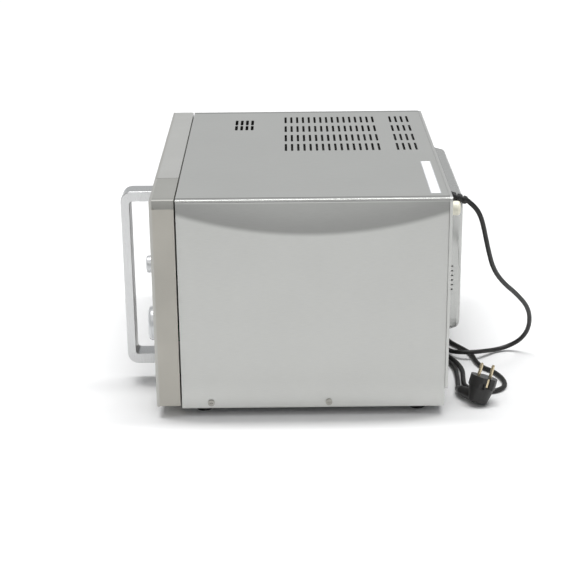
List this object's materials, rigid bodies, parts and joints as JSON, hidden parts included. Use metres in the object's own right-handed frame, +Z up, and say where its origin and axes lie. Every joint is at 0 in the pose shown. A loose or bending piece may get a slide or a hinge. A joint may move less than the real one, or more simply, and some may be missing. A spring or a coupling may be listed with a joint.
{
  "type": "countertop combination oven",
  "caption": "Box-shaped countertop combination oven with a side-hinged door, upright handle, knob panel, vented wrap-over shell, rear duct cover and mains lead.",
  "frame": {"origin": "on the floor plane, under the middle of the oven's bounding box without its mains lead", "axes": "+X to the right seen from the front, +Y to the rear, +Z up; the door faces -Y"},
  "size_m": [0.52, 0.6221, 0.3257],
  "materials": {
    "shell_steel": "fine brushed, satin",
    "front_steel": "fine brushed, satin",
    "frame_silver": "warm silver lacquer, satin",
    "cap_grey": "satin",
    "zinc_plate": "galvanised, dull",
    "cavity_steel": "stainless, satin",
    "white_enamel": "satin",
    "dark_metal": "blackened steel",
    "chrome_steel": "bright plated",
    "handle_alu": "satin anodised",
    "knob_silver": "silver lacquer",
    "black_glass": "gloss",
    "clear_glass": "clear",
    "black_plastic": "matt",
    "grey_plastic": "matt",
    "white_plastic": "matt",
    "board_green": "coated board",
    "mica": "pearly",
    "label_white": "paper",
    "heater_sheath": "oxidised",
    "cord_black": "matt, slightly rubbery",
    "pin_brass": "nickelled brass, satin"
  },
  "bodies": {
    "oven": {"shell": "shell_steel", "side_screws": "chrome_steel", "base_plate": "zinc_plate", "feet": "black_plastic", "rear_panel": "zinc_plate", "rear_screws": "chrome_steel", "rear_spacer": "white_plastic", "duct_cover": "zinc_plate", "top_label": "label_white", "front_plate": "white_enamel", "cavity": "cavity_steel", "fan_housing": "zinc_plate", "convection_motor": "dark_metal", "ring_heater": "heater_sheath", "grill_heater": "heater_sheath", "wave_cover": "mica", "cavity_lamp": "zinc_plate", "turntable_motor": "zinc_plate", "hinge_lower": "zinc_plate", "hinge_upper": "zinc_plate", "latch_bracket": "white_plastic", "latch_switches": "black_plastic", "panel_housing": "frame_silver", "panel_cap": "cap_grey", "panel_fascia": "front_steel", "display_window": "black_glass", "control_board": "board_green", "encoders": "grey_plastic", "wave_guide": "zinc_plate", "magnetron": "zinc_plate", "transformer": "dark_metal", "capacitor": "zinc_plate", "fan_shroud": "grey_plastic", "noise_filter": "board_green", "thermostat": "black_plastic", "strain_relief": "black_plastic", "cord_tube": "cord_black", "plug_body": "black_plastic", "plug_pins": "pin_brass"},
    "door": {"door_frame": "frame_silver", "door_skin": "front_steel", "door_glass": "black_glass", "door_screen": "dark_metal", "door_inner_glass": "clear_glass", "handle": "handle_alu", "handle_screws": "chrome_steel"},
    "latch": {"latch_hooks": "white_plastic"},
    "upper_knob": {"knob_upper": "knob_silver"},
    "lower_knob": {"knob_lower": "knob_silver"},
    "start_button": {"start_button": "black_plastic"},
    "stop_button": {"stop_button": "black_plastic"},
    "hot_air_fan": {"convection_fan": "zinc_plate"},
    "cooling_fan": {"cooling_fan": "grey_plastic"},
    "turntable": {"glass_tray": "clear_glass", "turntable_coupler": "white_plastic"},
    "roller_ring": {"roller_ring": "white_plastic"}
  },
  "joints": [
    {"name": "door_hinge", "type": "hinge", "parent": "oven", "child": "door", "pos_m": [-0.252, -0.1815, 0.17], "axis": [0, 0, -1], "range_deg": [0, 110]},
    {"name": "latch_slide", "type": "slide", "parent": "door", "child": "latch", "axis": [0, 0, 1], "range_m": [0, 0.005], "stiffness_N_per_m": 400, "springref_m": -0.004},
    {"name": "upper_knob_turn", "type": "hinge", "parent": "oven", "child": "upper_knob", "pos_m": [0.204, -0.205, 0.215], "axis": [0, -1, 0], "range_deg": [-150, 150]},
    {"name": "lower_knob_turn", "type": "hinge", "parent": "oven", "child": "lower_knob", "pos_m": [0.204, -0.205, 0.125], "axis": [0, -1, 0], "continuous": true},
    {"name": "start_press", "type": "slide", "parent": "oven", "child": "start_button", "axis": [0, 1, 0], "range_m": [0, 0.0015], "stiffness_N_per_m": 400, "springref_m": -0.001},
    {"name": "stop_press", "type": "slide", "parent": "oven", "child": "stop_button", "axis": [0, 1, 0], "range_m": [0, 0.0015], "stiffness_N_per_m": 400, "springref_m": -0.001},
    {"name": "hot_air_fan_spin", "type": "hinge", "parent": "oven", "child": "hot_air_fan", "pos_m": [-0.08, 0.19, 0.16], "axis": [0, 1, 0], "continuous": true},
    {"name": "cooling_fan_spin", "type": "hinge", "parent": "oven", "child": "cooling_fan", "pos_m": [0.175, 0.186, 0.185], "axis": [0, 1, 0], "continuous": true},
    {"name": "turntable_spin", "type": "hinge", "parent": "oven", "child": "turntable", "pos_m": [-0.08, 0.003, 0.06], "axis": [0, 0, 1], "continuous": true},
    {"name": "roller_ring_spin", "type": "hinge", "parent": "oven", "child": "roller_ring", "pos_m": [-0.08, 0.003, 0.059], "axis": [0, 0, 1], "continuous": true}
  ],
  "couplings": [
    {"joint": "roller_ring_spin", "follows": "turntable_spin", "ratio": 0.5}
  ]
}
